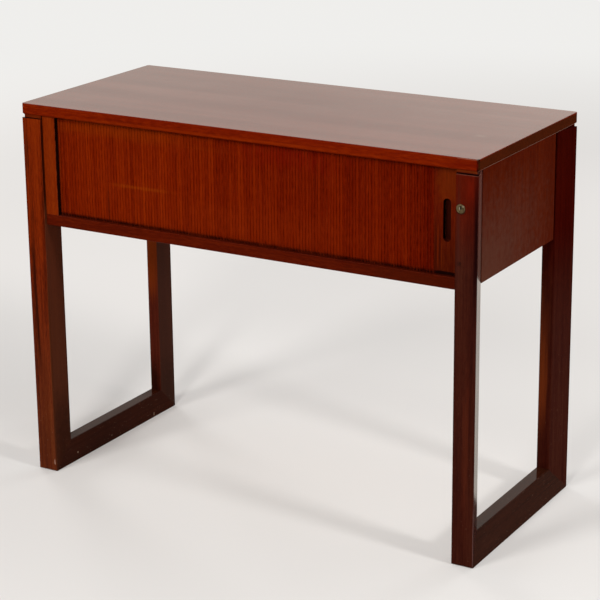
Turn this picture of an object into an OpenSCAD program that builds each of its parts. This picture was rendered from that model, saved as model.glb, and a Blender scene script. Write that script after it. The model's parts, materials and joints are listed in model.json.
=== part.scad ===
// Sewing table with a sliding tambour front, two mitred sledge frames and a cam lock.
// Origin: middle of the footprint, on the floor. +X right, +Y back, +Z up. Millimetres.

/* [Table] */
// Width over the table top
table_w = 900; // [860:1:940]
// Depth over the table top
table_d = 396; // [370:1:430]
// Height to the table top's upper face
table_h = 700; // [640:1:740]
// Thickness of the table top
top_t = 20; // [18:0.5:26]
// Radius of the table top's upright corners
top_corner_r = 4.5; // [3:0.5:8]
// Chamfer along the table top's lower edge
top_under_chamfer = 2; // [1:0.25:3]
// Chamfer along the table top's upper edge
top_upper_chamfer = 0.6; // [0.3:0.1:1.5]

/* [Side frames] */
// Width of a frame member at its outer edge
member_w = 40; // [34:0.5:46]
// Width of a frame member at its inner edge
member_thin_w = 24; // [22:0.5:30]
// Depth of a frame member, from outer edge to inner edge
member_d = 48; // [44:0.5:60]
// Easing of the long edges of the frame members
member_ease = 1; // [0.5:0.25:1.5]
// Radius of the frames' lower corners
foot_corner_r = 4; // [2:0.5:8]
// Height of the shadow gap between the legs and the table top
neck_h = 6; // [4:0.5:10]
// How far the neck above a leg stands back from the leg's faces
neck_inset = 3; // [2:0.25:5]
// Thickness of the splines in the mitres
spline_t = 4; // [3:0.25:6]
// Length of a spline along its mitre
spline_len = 40; // [30:1:44]
// Width of a spline across its mitre
spline_w = 26; // [20:1:28]

/* [Cabinet] */
// Height of the cabinet below the table top
cabinet_h = 201; // [180:1:240]
// Thickness of the cabinet floor
floor_t = 20; // [18:0.5:26]
// Depth of the front rail, front to back
front_rail_d = 28; // [26:0.5:40]
// How far the front rail and the stile stand behind the legs
front_set_back = 6; // [4:0.25:9]
// Thickness of the side panels
side_panel_t = 23; // [21:0.25:23.5]
// How far the side panels end above the cabinet's underside
side_panel_lift = 2; // [0:0.25:4]
// Width of the shadow groove where a side panel meets a leg
shadow_groove_w = 5; // [2:0.5:6]
// Depth of that groove
shadow_groove_d = 3; // [2:0.5:6]
// Width of the stile at the left of the opening
stile_w = 27; // [24:0.5:40]
// Thickness of that stile
stile_t = 9; // [7:0.5:11]
// Thickness of the back panel
back_panel_t = 12; // [10:0.5:16]
// How far the back panel stands in from the legs' rear faces
back_set_in = 6; // [4:0.5:9]
// Thickness of the guard walls inside the cabinet
guard_t = 5; // [4:0.5:8]
// Gap between the folded-back curtain and the guard walls
guard_gap = 7.5; // [7:0.25:10]

/* [Tambour curtain] */
// Spacing of the slats, rounded to a whole number of slats
slat_spacing = 6; // [5.5:0.1:9]
// Thickness of a slat
slat_t = 7; // [6:0.25:7.5]
// Gap between one slat and the next
slat_gap = 0.4; // [0.3:0.05:0.8]
// Chamfer on the two front edges of a slat
slat_chamfer = 0.8; // [0.4:0.1:1.2]
// Thickness of the canvas glued behind the slats
canvas_t = 0.8; // [0.6:0.1:1.2]
// How far the canvas stays clear of the cabinet floor and the table top
canvas_margin = 6; // [3:0.5:12]
// Radius of the track's bends, at the slats' face
bend_r = 30; // [29:0.5:34]
// Slats past the bend when the front is shut
tail_slats = 4; // [2:1:8]
// Depth of the track grooves
groove_depth = 5; // [4:0.25:6]

/* [Lead rail] */
// Width of the plain rail that leads the curtain
lead_w = 44.5; // [42:0.5:60]
// Thickness of the lead rail
lead_t = 14; // [13:0.5:18]
// How far the front slides open
door_travel = 740; // [600:1:740]
// Width of the finger slot
finger_slot_w = 14; // [12:0.5:16]
// Height of the finger slot
finger_slot_h = 72; // [50:1:90]
// Depth of the finger slot
finger_slot_depth = 9.5; // [7:0.25:10]
// Distance from the lead rail's right edge to the middle of the finger slot
finger_slot_inset = 21.5; // [20.5:0.5:26]
// Height of the finger slot's middle above the cabinet floor
finger_slot_up = 91; // [70:1:100]

/* [Lock] */
// Diameter of the lock's round face
lock_face_dia = 17; // [15:0.5:18]
// Thickness of the lock's face flange
lock_flange_t = 1.5; // [1:0.25:3]
// Diameter of the lock's barrel
lock_barrel_dia = 14; // [12.5:0.5:14.5]
// Length of the lock from its face to the barrel's end
lock_length = 19; // [18.5:0.25:19.5]
// Diameter of the turning plug
plug_dia = 10; // [9:0.25:10.5]
// Width across the flats of the plug's square tail
tail_size = 6; // [5:0.25:6.5]
// Length of the cam from its axis to its tip
cam_reach = 16.5; // [15:0.25:17]
// Width of the cam
cam_w = 8; // [7:0.25:9]
// Thickness of the cam
cam_t = 2.5; // [2:0.25:3]
// Distance from the leg's inner face to the lock's axis
lock_inset = 9.5; // [9.25:0.25:11]
// Height of the lock's axis above the cabinet floor
lock_up = 117; // [110:1:130]
// Width of the keyway
keyway_w = 1.6; // [1:0.1:2]
// Height of the keyway
keyway_h = 6; // [4:0.25:7]
// Width of the strike plate on the lead rail's edge
strike_w = 10; // [9:0.25:11]
// Height of the strike plate
strike_h = 48; // [46:1:60]
// Thickness of the strike plate
strike_t = 1.2; // [1:0.1:1.6]

/* [Joinery] */
// Diameter of the dowels between legs and side panels, and of those into the table top
dowel_dia = 8; // [6:0.5:9]
// Diameter of the dowels in the cabinet floor, the front rail and the back panel
small_dowel_dia = 6; // [5:0.25:6.5]
// Diameter of the pins that hold the stile
pin_dia = 4; // [3:0.25:4.5]
// How deep a dowel sits in each of the two pieces that it joins
dowel_bite = 14; // [10:0.5:15]

/* [Clearances] */
// Gap between the lead rail and the leg when shut, and between stile and curtain
run_gap = 0.5; // [0.3:0.05:0.8]
// Gap on each side of a slat or tongue in its groove
groove_gap = 0.4; // [0.3:0.05:0.6]
// Gap between the lead rail and the first slat
lead_gap = 0.3; // [0.2:0.05:0.6]
// Gap between the curtain and the cabinet's left side and back
wall_gap = 1; // [0.8:0.1:2]
// Radial gap of dowels and of the lock's turning plug
fit_gap = 0.05; // [0.04:0.01:0.08]
// Room left round the cam, and past the end of each dowel
free_gap = 1; // [0.8:0.1:1.2]
// Gap round the strike plate, the splines, the cam's square hole and the lock in its bore
seat_gap = 0.1; // [0.08:0.01:0.15]

/* [Hidden] */
$fn = 48;

// Colours of the finishes
mahogany = [0.42, 0.13, 0.05];
dark_mahogany = [0.30, 0.08, 0.03];
slat_wood = [0.45, 0.12, 0.03];
plain_wood = [0.55, 0.36, 0.22];
canvas_colour = [0.35, 0.30, 0.24];
lock_metal = [0.62, 0.56, 0.46];
brass = [0.72, 0.58, 0.32];

// Heights
under_top = table_h - top_t;
cabinet_z = under_top - cabinet_h;
floor_z = cabinet_z + floor_t;
leg_top_z = under_top - neck_h;
inside_h = under_top - floor_z;

// Plan: faces of the frames and the cabinet
front_y = -table_d / 2;
rear_y = table_d / 2;
frame_x = table_w / 2 - member_w;          // inner face of a frame
leg_back_y = front_y + member_d;           // rear face of a front leg
rear_leg_y = rear_y - member_d;            // front face of a rear leg
rail_y = front_y + front_set_back;         // front face of the rail and the stile
back_face_y = rear_y - back_set_in;
back_inner_y = back_face_y - back_panel_t;
stile_x = -frame_x + stile_w;              // opening's left edge
member_slope = (member_w - member_thin_w) / member_d;

// Track of the curtain, measured at the slats' face
face_y = rail_y + stile_t + run_gap;
side_face_x = -frame_x + wall_gap;
rear_face_y = back_inner_y - wall_gap;
bend_x = side_face_x + bend_r;
bend_y = face_y + bend_r;
rear_bend_y = rear_face_y - bend_r;
curtain_t = slat_t + canvas_t;

// Lead rail and slats
lead_right = frame_x - run_gap;
lead_left = lead_right - lead_w;
slat_run = lead_left - lead_gap - bend_x;
slat_count = round(slat_run / slat_spacing);
slat_pitch = slat_run / slat_count;
slat_w = slat_pitch - slat_gap;
bend_slats = floor(90 / (2 * atan((slat_w / 2 + fit_gap) / (bend_r - slat_t))));
bend_step = 90 / bend_slats;
slat_low_z = floor_z - groove_depth + groove_gap;
slat_high_z = under_top + groove_depth - 2 * groove_gap;
bend_len = PI / 2 * (bend_r - slat_t);
tail_run = rear_bend_y - bend_y - tail_slats * slat_pitch + bend_len;
track_end_x = bend_x + door_travel - tail_run + slat_pitch;

// Guard walls
guard_lap = 12;                            // how far the left wall reaches past the bend's centre
guard_x = side_face_x + curtain_t + guard_gap;
guard_y = rear_face_y - curtain_t - guard_gap;
guard_front_y = bend_y - guard_lap;

// Lock
face_sink = 0.3;                           // plug's face below the lock's face
screw_head_t = 2;
strike_screw_len = 12;
strike_screw_dia = 2.5;
strike_head_dia = 5;
cam_screw_dia = 3;
cam_screw_len = 7;
lock_x = frame_x + lock_inset;
cam_hub_dia = cam_w + 4;
lock_z = floor_z + lock_up;
barrel_end_y = front_y + lock_length;
cam_y = barrel_end_y + free_gap;
tail_end_y = cam_y + cam_t + run_gap / 2;
pocket_depth = tail_end_y + screw_head_t + free_gap - barrel_end_y;
cam_corner = sqrt(pow(cam_reach, 2) + pow(cam_w / 2, 2));
mortise_w = cam_t + 3.5 * free_gap;
mortise_y = cam_y + cam_t / 2;
mortise_low = cam_w / 2 + free_gap;
mortise_high = sqrt(pow(cam_corner, 2) - pow(lock_inset + run_gap, 2)) + free_gap;
mortise_in = cam_reach - lock_inset - run_gap + free_gap;
strike_z = lock_z + (mortise_high - mortise_low) / 2;
strike_screw_up = strike_h / 2 - strike_head_dia - 0.5;

// Joinery places
panel_cover = 9;                           // wood left outside the dowels in a side panel
top_cover = 8;                             // wood left above the dowels in the table top
pin_bite = 10;
panel_mid_x = frame_x + side_panel_t / 2;
panel_dowel_z = [for (i = [0:2]) cabinet_z + cabinet_h * (0.15 + 0.35 * i)];
across_y = [for (i = [-1:1]) i * (rear_leg_y - leg_back_y) / 3];
floor_dowel_bite = side_panel_t - panel_cover;
floor_dowel_z = cabinet_z + (floor_t - groove_depth) / 2;
rail_dowel_y = [rail_y + front_rail_d / 4, rail_y + 3 * front_rail_d / 4];
stile_pin_z = [floor_z + inside_h / 4, floor_z + 3 * inside_h / 4];
top_dowel_bite = top_t - top_cover;

// ---- helpers ----

// A rod along one axis, from its middle
module rod_x(d, l) { rotate([0, 90, 0]) cylinder(d = d, h = l, center = true); }
module rod_y(d, l) { rotate([90, 0, 0]) cylinder(d = d, h = l, center = true); }
module rod_z(d, l) { cylinder(d = d, h = l, center = true); }

// A box from its lowest to its highest corner
module span(lo, hi) { translate(lo) cube(hi - lo); }

// Board lying flat with rounded upright corners and chamfered edges
module edged_board(w, d, t, r, low, high) {
    function half(s) = [[0, 0], [s - low, 0], [s, low], [s, t - high], [s - high, t], [0, t]];
    function whole(s) = concat(half(s), [for (i = [5:-1:0]) [-half(s)[i][0], half(s)[i][1]]]);
    rotate([90, 0, 90]) linear_extrude(w - 2 * r, center = true) polygon(whole(d / 2));
    rotate([90, 0, 0]) linear_extrude(d - 2 * r, center = true) polygon(whole(w / 2));
    for (x = [-1, 1], y = [-1, 1])
        translate([x * (w / 2 - r), y * (d / 2 - r), 0]) rotate_extrude() polygon(half(r));
}

// Section of a frame member: first its depth from the outer edge, then its width
function member_section() = let (e = member_ease, s = member_slope) [
    [e, 0], [0, e], [0, member_w - e], [e, member_w - s * e],
    [member_d - e, member_thin_w + s * e], [member_d, member_thin_w - e],
    [member_d, e], [member_d - e, 0]
];

// Front leg of the right frame, before its bores, with its front face at y = front_y
module leg_blank() {
    difference() {
        union() {
            translate([frame_x, front_y, 0]) mirror([1, -1, 0])
                linear_extrude(leg_top_z) polygon(member_section());
            translate([frame_x, front_y + neck_inset, leg_top_z])
                linear_extrude(neck_h) polygon([
                    [0, 0],
                    [member_w - neck_inset * (1 + member_slope), 0],
                    [member_thin_w - neck_inset, member_d - neck_inset],
                    [0, member_d - neck_inset]
                ]);
        }
        mitre_cutter();
        foot_corner_cutter();
        spline(seat_gap);
        for (z = panel_dowel_z) translate([panel_mid_x, leg_back_y, z]) rod_y(
            dowel_dia + 2 * fit_gap, 2 * (dowel_bite + free_gap));
    }
}

// Takes off what lies below the mitre of the front leg
module mitre_cutter() {
    translate([frame_x - 1, front_y, 0]) rotate([90, 0, 90]) linear_extrude(member_w + 2)
        polygon([[0, 0], [member_d + 1, member_d + 1], [member_d + 1, -1], [-1, -1]]);
}

// Takes off the sharp lower corner outside the corner radius
module foot_corner_cutter() {
    translate([frame_x - 1, front_y, 0]) rotate([90, 0, 90]) linear_extrude(member_w + 2)
        difference() {
            translate([-1, -1]) square(foot_corner_r + 1);
            translate([foot_corner_r, foot_corner_r]) circle(foot_corner_r);
        }
}

// Spline across the front mitre of the right frame, grown by a gap
module spline(gap = 0) {
    translate([frame_x + member_thin_w / 2, front_y + member_d / 2, member_d / 2])
        rotate([45, 0, 0])
        cube([spline_t + 2 * gap, spline_len + 2 * gap, spline_w + 2 * gap], center = true);
}

// Rear leg of the right frame
module rear_leg_blank() { mirror([0, 1, 0]) leg_blank(); }

// Floor rail of the right frame, mitred at both ends
module floor_rail_blank() {
    difference() {
        translate([frame_x, 0, 0]) rotate([90, 0, 0]) linear_extrude(table_d, center = true)
            polygon([for (p = member_section()) [p[1], p[0]]]);
        for (side = [0, 1]) mirror([0, side, 0]) {
            translate([frame_x - 1, front_y, 0]) rotate([90, 0, 90])
                linear_extrude(member_w + 2)
                polygon([[0, 0], [member_d + 1, member_d + 1], [-1, member_d + 1], [-1, 0]]);
            foot_corner_cutter();
            spline(seat_gap);
        }
    }
}

// Band along the curtain's track, between two depths behind the slats' face
module track_band(near, far) {
    translate([bend_x, face_y + near]) square([frame_x - bend_x, far - near]);
    translate([side_face_x + near, bend_y]) square([far - near, rear_bend_y - bend_y]);
    translate([bend_x, rear_face_y - far]) square([track_end_x - bend_x, far - near]);
    track_bend(bend_y, -1, near, far);
    track_bend(rear_bend_y, 1, near, far);
}

// Quarter ring of the track about one bend's centre
module track_bend(centre_y, side, near, far) {
    translate([bend_x, centre_y]) intersection() {
        difference() {
            circle(bend_r - near);
            circle(bend_r - far);
        }
        mirror([0, side < 0 ? 1 : 0]) translate([-bend_r - 2, 0]) square(bend_r + 2);
    }
}

// Groove that guides the slats' ends, open at one face
module track_groove(z) {
    translate([0, 0, z]) linear_extrude(groove_depth) track_band(-groove_gap, slat_t + groove_gap);
}

// Moves what stands with its face at the origin to every slat's place
module at_each_slat() {
    for (i = [0:slat_count - 1])
        translate([bend_x + (i + 0.5) * slat_pitch, face_y, 0]) children();
    for (i = [0:bend_slats - 1])
        translate([bend_x, bend_y, 0]) rotate(-(i + 0.5) * bend_step)
            translate([0, -bend_r, 0]) children();
    for (i = [0:tail_slats - 1])
        translate([side_face_x, bend_y + (i + 0.5) * slat_pitch, 0]) rotate(-90) children();
}

// Room that the turning cam needs in the leg, open towards the lead rail
module cam_pocket() {
    span([frame_x - 1, barrel_end_y, lock_z - cam_hub_dia / 2 - free_gap],
        [lock_x + cam_hub_dia / 2 + free_gap, barrel_end_y + pocket_depth,
        lock_z + cam_corner + free_gap]);
}

// Slot with round ends, upright, cut from the front
module finger_slot() {
    straight = (finger_slot_h - finger_slot_w) / 2;
    translate([lead_right - finger_slot_inset, face_y, floor_z + finger_slot_up]) {
        for (end = [-straight, straight])
            translate([0, 0, end]) rod_y(finger_slot_w, 2 * finger_slot_depth);
        cube([finger_slot_w, 2 * finger_slot_depth, 2 * straight], center = true);
    }
}

// Countersunk screw along +X towards -X, its head's face at the origin
module wood_screw(head, shank, l) {
    rotate([0, -90, 0]) rotate_extrude()
        polygon([[0, 0], [head / 2, 0], [shank / 2, (head - shank) / 2], [shank / 2, l - shank],
            [0, l]]);
}

// Square bar along Y from one depth to another, on the lock's axis
module tail_bar(size, from_y, to_y) {
    span([lock_x - size / 2, from_y, lock_z - size / 2], [lock_x + size / 2, to_y, lock_z + size / 2]);
}

// ---- pieces ----

module table_top() color(mahogany) difference() {
    translate([0, 0, under_top])
        edged_board(table_w, table_d, top_t, top_corner_r, top_under_chamfer, top_upper_chamfer);
    track_groove(under_top);
    top_dowel_places() rod_z(dowel_dia + 2 * fit_gap, 2 * (top_dowel_bite + free_gap));
}

module left_front_leg() color(mahogany) difference() {
    mirror([1, 0, 0]) leg_blank();
    for (z = stile_pin_z) translate([-frame_x, rail_y + stile_t / 2, z])
        rod_x(pin_dia + 2 * fit_gap, 2 * (pin_bite + free_gap));
    rail_dowel_holes();
}

module left_rear_leg() color(dark_mahogany) difference() {
    mirror([1, 0, 0]) rear_leg_blank();
    back_dowel_holes();
}

module left_floor_rail() color(dark_mahogany) mirror([1, 0, 0]) floor_rail_blank();

module right_front_leg() color(dark_mahogany) difference() {
    leg_blank();
    cam_pocket();
    translate([lock_x, barrel_end_y, lock_z])
        rod_y(lock_barrel_dia + 2 * seat_gap, 2 * lock_length);
    translate([lock_x, front_y, lock_z])
        rod_y(lock_face_dia + 2 * seat_gap, 2 * (lock_flange_t + seat_gap));
    rail_dowel_holes();
}

module right_rear_leg() color(dark_mahogany) difference() {
    rear_leg_blank();
    back_dowel_holes();
}

module right_floor_rail() color(dark_mahogany) floor_rail_blank();

module mitre_splines() color(plain_wood)
    for (x = [0, 1], y = [0, 1]) mirror([x, 0, 0]) mirror([0, y, 0]) spline();

module side_panel_blank() difference() {
    span([frame_x, leg_back_y, cabinet_z + side_panel_lift],
        [frame_x + side_panel_t, rear_leg_y, under_top]);
    for (side = [0, 1]) mirror([0, side, 0])
        span([frame_x + side_panel_t - shadow_groove_d, leg_back_y - 1, cabinet_z - 1],
            [frame_x + side_panel_t + 1, leg_back_y + shadow_groove_w, under_top + 1]);
    for (side = [-1, 1], z = panel_dowel_z)
        translate([panel_mid_x, side * rear_leg_y, z])
        rod_y(dowel_dia + 2 * fit_gap, 2 * (dowel_bite + free_gap));
    top_dowel_places() rod_z(dowel_dia + 2 * fit_gap, 2 * (dowel_bite + free_gap));
    floor_dowel_holes();
}

module left_side_panel() color(dark_mahogany) mirror([1, 0, 0]) side_panel_blank();

module right_side_panel() color(dark_mahogany) side_panel_blank();

module back_panel() color(dark_mahogany) difference() {
    span([-frame_x, back_inner_y, cabinet_z], [frame_x, back_face_y, under_top]);
    back_dowel_holes();
}

module cabinet_floor() color(plain_wood) difference() {
    span([-frame_x, rail_y + front_rail_d, cabinet_z], [frame_x, back_inner_y, floor_z]);
    track_groove(floor_z - groove_depth);
    floor_dowel_holes();
}

module front_rail() color(dark_mahogany) difference() {
    span([-frame_x, rail_y, cabinet_z], [frame_x, rail_y + front_rail_d, floor_z]);
    track_groove(floor_z - groove_depth);
    rail_dowel_holes();
}

module left_stile() color(mahogany) difference() {
    span([-frame_x, rail_y, floor_z], [stile_x, rail_y + stile_t, under_top]);
    for (z = stile_pin_z) translate([-frame_x, rail_y + stile_t / 2, z])
        rod_x(pin_dia + 2 * fit_gap, 2 * (pin_bite + free_gap));
}

module inner_left_wall() color(plain_wood)
    span([guard_x, guard_front_y, floor_z], [guard_x + guard_t, guard_y, under_top]);

module inner_back_wall() color(plain_wood)
    span([guard_x + guard_t, guard_y - guard_t, floor_z], [frame_x, guard_y, under_top]);

module tambour_slats() color(slat_wood) translate([0, 0, slat_low_z]) at_each_slat()
    linear_extrude(slat_high_z - slat_low_z) polygon([
        [-slat_w / 2 + slat_chamfer, 0], [slat_w / 2 - slat_chamfer, 0],
        [slat_w / 2, slat_chamfer], [slat_w / 2, slat_t], [-slat_w / 2, slat_t],
        [-slat_w / 2, slat_chamfer]
    ]);

module tambour_canvas() color(canvas_colour) translate([0, 0, floor_z + canvas_margin])
    linear_extrude(inside_h - 2 * canvas_margin) {
        translate([bend_x, face_y + slat_t]) square([slat_run, canvas_t]);
        track_bend(bend_y, -1, slat_t, curtain_t);
        translate([side_face_x + slat_t, bend_y]) square([canvas_t, tail_slats * slat_pitch]);
    }

module lead_rail() color(mahogany) difference() {
    union() {
        span([lead_left, face_y, floor_z + run_gap], [lead_right, face_y + lead_t, under_top - run_gap]);
        span([lead_left, face_y, slat_low_z], [lead_right, face_y + slat_t, slat_high_z]);
    }
    finger_slot();
    span([lead_right - mortise_in, mortise_y - mortise_w / 2, lock_z - mortise_low],
        [lead_right + 1, mortise_y + mortise_w / 2, lock_z + mortise_high]);
    strike_blank(seat_gap);
    for (side = [-1, 1]) translate([lead_right, mortise_y, strike_z + side * strike_screw_up])
        rod_x(strike_screw_dia + 2 * fit_gap, 2 * (strike_screw_len + free_gap));
}

// Strike plate without its holes, let into the lead rail's edge
module strike_blank(gap) {
    span([lead_right - strike_t, mortise_y - strike_w / 2 - gap, strike_z - strike_h / 2 - gap],
        [lead_right + (gap > 0 ? 1 : 0), mortise_y + strike_w / 2 + gap, strike_z + strike_h / 2 + gap]);
}

module strike_plate() color(brass) difference() {
    strike_blank(0);
    span([lead_right - 3 * strike_t, mortise_y - mortise_w / 2, lock_z - mortise_low],
        [lead_right + 1, mortise_y + mortise_w / 2, lock_z + mortise_high]);
    for (side = [-1, 1]) translate([lead_right + fit_gap, mortise_y, strike_z + side * strike_screw_up])
        wood_screw(strike_head_dia + 2 * seat_gap, strike_screw_dia + 2 * seat_gap, strike_screw_len);
}

module strike_screws() color(brass) for (side = [-1, 1])
    translate([lead_right, mortise_y, strike_z + side * strike_screw_up])
        wood_screw(strike_head_dia, strike_screw_dia, strike_screw_len);

module lock_cylinder() color(lock_metal) difference() {
    union() {
        translate([lock_x, front_y + lock_length / 2, lock_z]) rod_y(lock_barrel_dia, lock_length);
        translate([lock_x, front_y + lock_flange_t / 2, lock_z]) rod_y(lock_face_dia, lock_flange_t);
    }
    translate([lock_x, front_y + lock_length / 2, lock_z])
        rod_y(plug_dia + 2 * fit_gap, lock_length + 2);
}

module lock_plug() color(lock_metal) difference() {
    union() {
        translate([lock_x, barrel_end_y - (lock_length - face_sink) / 2, lock_z])
            rod_y(plug_dia, lock_length - face_sink);
        tail_bar(tail_size, barrel_end_y - 1, tail_end_y);
    }
    translate([lock_x, front_y, lock_z + 1])
        cube([keyway_w, 2 * lock_length / 3, keyway_h], center = true);
    translate([lock_x, tail_end_y, lock_z])
        rod_y(cam_screw_dia + 2 * fit_gap, 2 * (cam_screw_len + free_gap));
}

module lock_cam() color(lock_metal) difference() {
    translate([lock_x, cam_y + cam_t / 2, lock_z]) {
        rod_y(cam_hub_dia, cam_t);
        translate([0, 0, cam_reach / 2]) cube([cam_w, cam_t, cam_reach], center = true);
    }
    tail_bar(tail_size + 2 * seat_gap, cam_y - 1, cam_y + cam_t + 1);
}

module cam_screw() color(brass) {
    translate([lock_x, tail_end_y + screw_head_t / 2, lock_z]) rod_y(tail_size + 2.5, screw_head_t);
    translate([lock_x, tail_end_y - cam_screw_len / 2, lock_z]) rod_y(cam_screw_dia, cam_screw_len);
}

module leg_dowels() color(plain_wood)
    for (x = [-1, 1], y = [leg_back_y, rear_leg_y], z = panel_dowel_z)
        translate([x * panel_mid_x, y, z]) rod_y(dowel_dia, 2 * dowel_bite);

module floor_dowels() color(plain_wood) for (x = [-1, 1], y = across_y)
    translate([x * frame_x, y, floor_dowel_z]) rod_x(small_dowel_dia, 2 * floor_dowel_bite);

module floor_dowel_holes() for (x = [-1, 1], y = across_y)
    translate([x * frame_x, y, floor_dowel_z])
        rod_x(small_dowel_dia + 2 * fit_gap, 2 * (floor_dowel_bite + free_gap));

module rail_dowels() color(plain_wood) for (x = [-1, 1], y = rail_dowel_y)
    translate([x * frame_x, y, floor_dowel_z]) rod_x(small_dowel_dia, 2 * dowel_bite);

module rail_dowel_holes() for (x = [-1, 1], y = rail_dowel_y)
    translate([x * frame_x, y, floor_dowel_z])
        rod_x(small_dowel_dia + 2 * fit_gap, 2 * (dowel_bite + free_gap));

module stile_pins() color(plain_wood) for (z = stile_pin_z)
    translate([-frame_x, rail_y + stile_t / 2, z]) rod_x(pin_dia, 2 * pin_bite);

module back_dowels() color(plain_wood) for (x = [-1, 1], z = stile_pin_z)
    translate([x * frame_x, back_face_y - back_panel_t / 2, z])
        rod_x(small_dowel_dia, 2 * dowel_bite);

module back_dowel_holes() for (x = [-1, 1], z = stile_pin_z)
    translate([x * frame_x, back_face_y - back_panel_t / 2, z])
        rod_x(small_dowel_dia + 2 * fit_gap, 2 * (dowel_bite + free_gap));

// Puts its child where the side panels are dowelled to the table top
module top_dowel_places() for (x = [-1, 1], y = across_y)
    translate([x * panel_mid_x, y, under_top]) children();

module top_dowels() color(plain_wood) top_dowel_places()
    translate([0, 0, (top_dowel_bite - dowel_bite) / 2])
        rod_z(dowel_dia, top_dowel_bite + dowel_bite);

table_top();
left_front_leg();
left_rear_leg();
left_floor_rail();
right_front_leg();
right_rear_leg();
right_floor_rail();
mitre_splines();
left_side_panel();
right_side_panel();
back_panel();
cabinet_floor();
front_rail();
left_stile();
inner_left_wall();
inner_back_wall();
tambour_slats();
tambour_canvas();
lead_rail();
strike_plate();
strike_screws();
lock_cylinder();
lock_plug();
lock_cam();
cam_screw();
leg_dowels();
floor_dowels();
rail_dowels();
stile_pins();
back_dowels();
top_dowels();
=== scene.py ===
import json
import math

import bmesh
import bpy
from mathutils import Matrix, Vector


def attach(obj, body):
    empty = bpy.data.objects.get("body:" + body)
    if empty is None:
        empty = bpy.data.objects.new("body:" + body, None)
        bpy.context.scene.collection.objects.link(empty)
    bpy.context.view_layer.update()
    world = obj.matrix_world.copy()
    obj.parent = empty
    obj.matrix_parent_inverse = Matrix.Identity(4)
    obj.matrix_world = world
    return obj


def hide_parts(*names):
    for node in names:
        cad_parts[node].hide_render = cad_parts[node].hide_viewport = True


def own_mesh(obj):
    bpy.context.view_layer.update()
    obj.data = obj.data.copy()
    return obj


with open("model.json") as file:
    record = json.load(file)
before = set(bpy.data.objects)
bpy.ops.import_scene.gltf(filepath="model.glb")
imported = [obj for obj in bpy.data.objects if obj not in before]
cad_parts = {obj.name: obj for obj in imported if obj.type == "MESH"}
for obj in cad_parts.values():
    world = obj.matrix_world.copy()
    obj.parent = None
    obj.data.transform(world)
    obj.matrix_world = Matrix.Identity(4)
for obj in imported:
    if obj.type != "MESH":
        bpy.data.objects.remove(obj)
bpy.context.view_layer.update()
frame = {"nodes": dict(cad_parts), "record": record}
millimetre = 0.001


# small helpers for node trees
def addNode(tree, kind, **values):
    node = tree.nodes.new(kind)
    for name, value in values.items():
        setattr(node, name, value)
    return node


def plug(tree, value, socket):
    # a number or a colour is set on the socket, anything else is linked to it
    if isinstance(value, (int, float)):
        socket.default_value = value
    elif isinstance(value, tuple):
        wanted = len(socket.default_value)
        socket.default_value = value if len(value) == wanted else (*value, 1.0)
    else:
        tree.links.new(value, socket)


def calculate(tree, operation, *values):
    node = addNode(tree, "ShaderNodeMath", operation=operation)
    for socket, value in zip(node.inputs, values):
        plug(tree, value, socket)
    return node.outputs[0]


def calculateVector(tree, operation, *values):
    node = addNode(tree, "ShaderNodeVectorMath", operation=operation)
    for socket, value in zip(node.inputs, values):
        plug(tree, value, socket)
    return node.outputs["Value" if operation == "LENGTH" else "Vector"]


def remap(tree, value, fromLow, fromHigh, toLow=0.0, toHigh=1.0, smooth=False):
    kind = "SMOOTHSTEP" if smooth else "LINEAR"
    node = addNode(tree, "ShaderNodeMapRange", interpolation_type=kind)
    for name, number in (("Value", value), ("From Min", fromLow), ("From Max", fromHigh),
                         ("To Min", toLow), ("To Max", toHigh)):
        plug(tree, number, node.inputs[name])
    return node.outputs["Result"]


def mixColours(tree, factor, first, second, blend="MIX"):
    node = addNode(tree, "ShaderNodeMix", data_type="RGBA", blend_type=blend)
    for socket, value in ((node.inputs[0], factor), (node.inputs[6], first), (node.inputs[7], second)):
        plug(tree, value, socket)
    return node.outputs[2]


def mixShaders(tree, factor, first, second):
    node = addNode(tree, "ShaderNodeMixShader")
    for socket, value in zip(node.inputs, (factor, first, second)):
        plug(tree, value, socket)
    return node.outputs[0]


def axesOf(tree, vector):
    node = addNode(tree, "ShaderNodeSeparateXYZ")
    tree.links.new(vector, node.inputs[0])
    return node.outputs


def addBump(tree, shader, height, strength, depth):
    bump = addNode(tree, "ShaderNodeBump")
    bump.inputs["Strength"].default_value = strength
    bump.inputs["Distance"].default_value = depth
    plug(tree, height, bump.inputs["Height"])
    plug(tree, bump.outputs[0], shader.inputs["Normal"])


cameraView = {
    "place": (1.7323, -2.9157, 1.4378),
    "turn": 30.02,      # degrees to the left of straight ahead
    "tilt": -16.42,     # degrees, negative looks down
    "roll": -0.44,
    "lens": 118.4,
    "shift": (-0.0333, -0.0833),
}


def buildCamera():
    data = bpy.data.cameras.new("camera")
    camera = bpy.data.objects.new("camera", data)
    bpy.context.scene.collection.objects.link(camera)
    turn = Matrix.Rotation(math.radians(cameraView["turn"]), 4, "Z")
    tilt = Matrix.Rotation(math.radians(90 + cameraView["tilt"]), 4, "X")
    roll = Matrix.Rotation(math.radians(cameraView["roll"]), 4, "Z")
    camera.matrix_world = Matrix.Translation(cameraView["place"]) @ turn @ tilt @ roll
    data.lens = cameraView["lens"]
    data.shift_x, data.shift_y = cameraView["shift"]
    bpy.context.scene.camera = camera


backdropTone = (0.865, 0.857, 0.838)

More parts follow.
